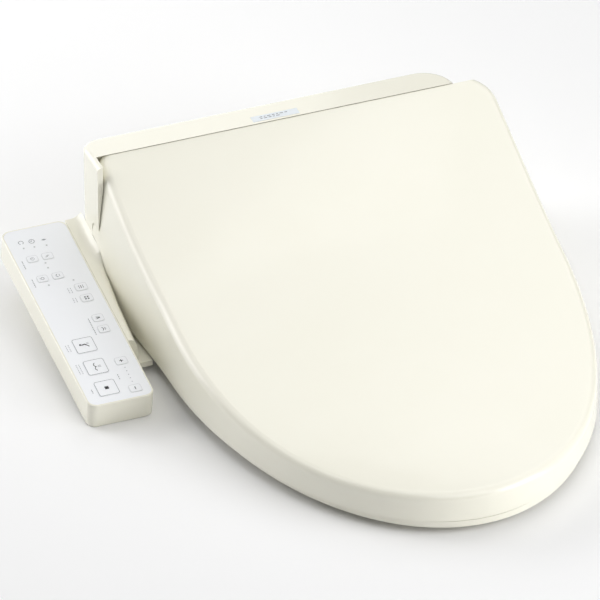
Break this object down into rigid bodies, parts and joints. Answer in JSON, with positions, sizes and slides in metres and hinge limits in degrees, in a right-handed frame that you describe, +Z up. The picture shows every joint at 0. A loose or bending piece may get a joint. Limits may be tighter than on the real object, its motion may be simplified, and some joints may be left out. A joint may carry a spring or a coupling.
{
  "type": "electric bidet seat",
  "caption": "Elongated electric bidet seat with a soft-close lid over a heated seat, a retracting spray wand and a side control arm with push keys.",
  "frame": {"origin": "midway between the two mounting bolt holes, on the underside of the base plate, which lies on the bowl's rim", "axes": "+Z up, -Y towards the front of the seat, -X towards the control arm, +X along the row of bolt holes"},
  "size_m": [0.4817, 0.5393, 0.1526],
  "materials": {
    "ivory_shell": "glossy moulded plastic",
    "ivory_seat": "glossy moulded plastic",
    "panel_film": "satin printed film",
    "key_cap": "satin printed film over a key",
    "lamp_lens": "clear lens, unlit",
    "name_plate": "blank satin plate",
    "grey_rubber": "moulded rubber",
    "grey_plastic": "moulded plastic",
    "button_plastic": "moulded plastic",
    "white_wand": "smooth moulded plastic",
    "steel": "plated steel",
    "brass": "machined brass",
    "tank_plastic": "translucent moulded plastic",
    "circuit_board": "coated circuit board",
    "heater_foil": "foil"
  },
  "bodies": {
    "mount": {"base_plate": "grey_plastic", "base_plate_bushings": "grey_plastic"},
    "case": {"case_upper": "ivory_shell", "case_lower": "grey_plastic", "case_screws": "steel", "case_feet": "grey_rubber", "name_plate": "name_plate", "nozzle_guide": "grey_plastic", "nozzle_motor": "steel", "fan_housing": "grey_plastic", "hot_water_tank": "tank_plastic", "valve_unit": "grey_plastic", "water_inlet": "brass", "cord_gland": "grey_rubber", "main_board": "circuit_board", "hinge_pin_left": "steel", "hinge_pin_right": "steel", "damper_left": "grey_plastic", "damper_right": "grey_plastic", "arm_case_upper": "ivory_shell", "arm_case_lower": "ivory_shell", "arm_screws": "steel", "panel_sheet": "panel_film", "panel_board": "circuit_board", "status_lamps": "lamp_lens"},
    "seat": {"seat_upper": "ivory_seat", "seat_lower": "ivory_seat", "seat_heater": "heater_foil", "seat_bumpers": "grey_rubber"},
    "lid": {"lid_shell": "ivory_shell", "lid_bumpers": "grey_rubber"},
    "wand": {"nozzle_tube": "white_wand", "nozzle_tip": "white_wand"},
    "fan": {"fan_wheel": "grey_plastic"},
    "release": {"release_button": "button_plastic"},
    "key_stop_body": {"key_stop": "key_cap"},
    "key_rear_wash_body": {"key_rear_wash": "key_cap"},
    "key_front_wash_body": {"key_front_wash": "key_cap"},
    "key_plus_body": {"key_plus": "key_cap"},
    "key_minus_body": {"key_minus": "key_cap"},
    "key_soft_body": {"key_soft": "key_cap"},
    "key_move_body": {"key_move": "key_cap"},
    "key_dry_body": {"key_dry": "key_cap"},
    "key_deodorise_body": {"key_deodorise": "key_cap"},
    "key_water_temperature_body": {"key_water_temperature": "key_cap"},
    "key_seat_temperature_body": {"key_seat_temperature": "key_cap"},
    "key_timer_body": {"key_timer": "key_cap"},
    "key_power_saver_body": {"key_power_saver": "key_cap"}
  },
  "joints": [
    {"name": "case_slides_off_mount", "type": "slide", "parent": "mount", "child": "case", "axis": [0, -1, 0], "range_m": [0, 0.06]},
    {"name": "seat_hinge", "type": "hinge", "parent": "case", "child": "seat", "pos_m": [0, 0.018, 0.126], "axis": [1, 0, 0], "range_deg": [-100, 0]},
    {"name": "lid_hinge", "type": "hinge", "parent": "seat", "child": "lid", "pos_m": [0, 0.018, 0.126], "axis": [-1, 0, 0], "range_deg": [0, 100]},
    {"name": "wand_slide", "type": "slide", "parent": "case", "child": "wand", "axis": [0, -0.891, -0.454], "range_m": [0, 0.1]},
    {"name": "fan_spin", "type": "hinge", "parent": "case", "child": "fan", "pos_m": [0.128, -0.018, 0.03], "axis": [0, 0, 1], "continuous": true},
    {"name": "release_press", "type": "slide", "parent": "case", "child": "release", "axis": [-1, 0, 0], "range_m": [0, 0.004], "stiffness_N_per_m": 400},
    {"name": "key_stop_press", "type": "slide", "parent": "case", "child": "key_stop_body", "axis": [0, 0.1702, -0.9854], "range_m": [0, 0.0008], "stiffness_N_per_m": 600, "springref_m": -0.0002},
    {"name": "key_rear_wash_press", "type": "slide", "parent": "case", "child": "key_rear_wash_body", "axis": [0, 0.1702, -0.9854], "range_m": [0, 0.0008], "stiffness_N_per_m": 600, "springref_m": -0.0002},
    {"name": "key_front_wash_press", "type": "slide", "parent": "case", "child": "key_front_wash_body", "axis": [0, 0.1702, -0.9854], "range_m": [0, 0.0008], "stiffness_N_per_m": 600, "springref_m": -0.0002},
    {"name": "key_plus_press", "type": "slide", "parent": "case", "child": "key_plus_body", "axis": [0, 0.1702, -0.9854], "range_m": [0, 0.0008], "stiffness_N_per_m": 600, "springref_m": -0.0002},
    {"name": "key_minus_press", "type": "slide", "parent": "case", "child": "key_minus_body", "axis": [0, 0.1702, -0.9854], "range_m": [0, 0.0008], "stiffness_N_per_m": 600, "springref_m": -0.0002},
    {"name": "key_soft_press", "type": "slide", "parent": "case", "child": "key_soft_body", "axis": [0, 0.1702, -0.9854], "range_m": [0, 0.0008], "stiffness_N_per_m": 600, "springref_m": -0.0002},
    {"name": "key_move_press", "type": "slide", "parent": "case", "child": "key_move_body", "axis": [0, 0.1702, -0.9854], "range_m": [0, 0.0008], "stiffness_N_per_m": 600, "springref_m": -0.0002},
    {"name": "key_dry_press", "type": "slide", "parent": "case", "child": "key_dry_body", "axis": [0, 0.1702, -0.9854], "range_m": [0, 0.0008], "stiffness_N_per_m": 600, "springref_m": -0.0002},
    {"name": "key_deodorise_press", "type": "slide", "parent": "case", "child": "key_deodorise_body", "axis": [0, 0.1702, -0.9854], "range_m": [0, 0.0008], "stiffness_N_per_m": 600, "springref_m": -0.0002},
    {"name": "key_water_temperature_press", "type": "slide", "parent": "case", "child": "key_water_temperature_body", "axis": [0, 0.1702, -0.9854], "range_m": [0, 0.0008], "stiffness_N_per_m": 600, "springref_m": -0.0002},
    {"name": "key_seat_temperature_press", "type": "slide", "parent": "case", "child": "key_seat_temperature_body", "axis": [0, 0.1702, -0.9854], "range_m": [0, 0.0008], "stiffness_N_per_m": 600, "springref_m": -0.0002},
    {"name": "key_timer_press", "type": "slide", "parent": "case", "child": "key_timer_body", "axis": [0, 0.1702, -0.9854], "range_m": [0, 0.0008], "stiffness_N_per_m": 600, "springref_m": -0.0002},
    {"name": "key_power_saver_press", "type": "slide", "parent": "case", "child": "key_power_saver_body", "axis": [0, 0.1702, -0.9854], "range_m": [0, 0.0008], "stiffness_N_per_m": 600, "springref_m": -0.0002}
  ]
}
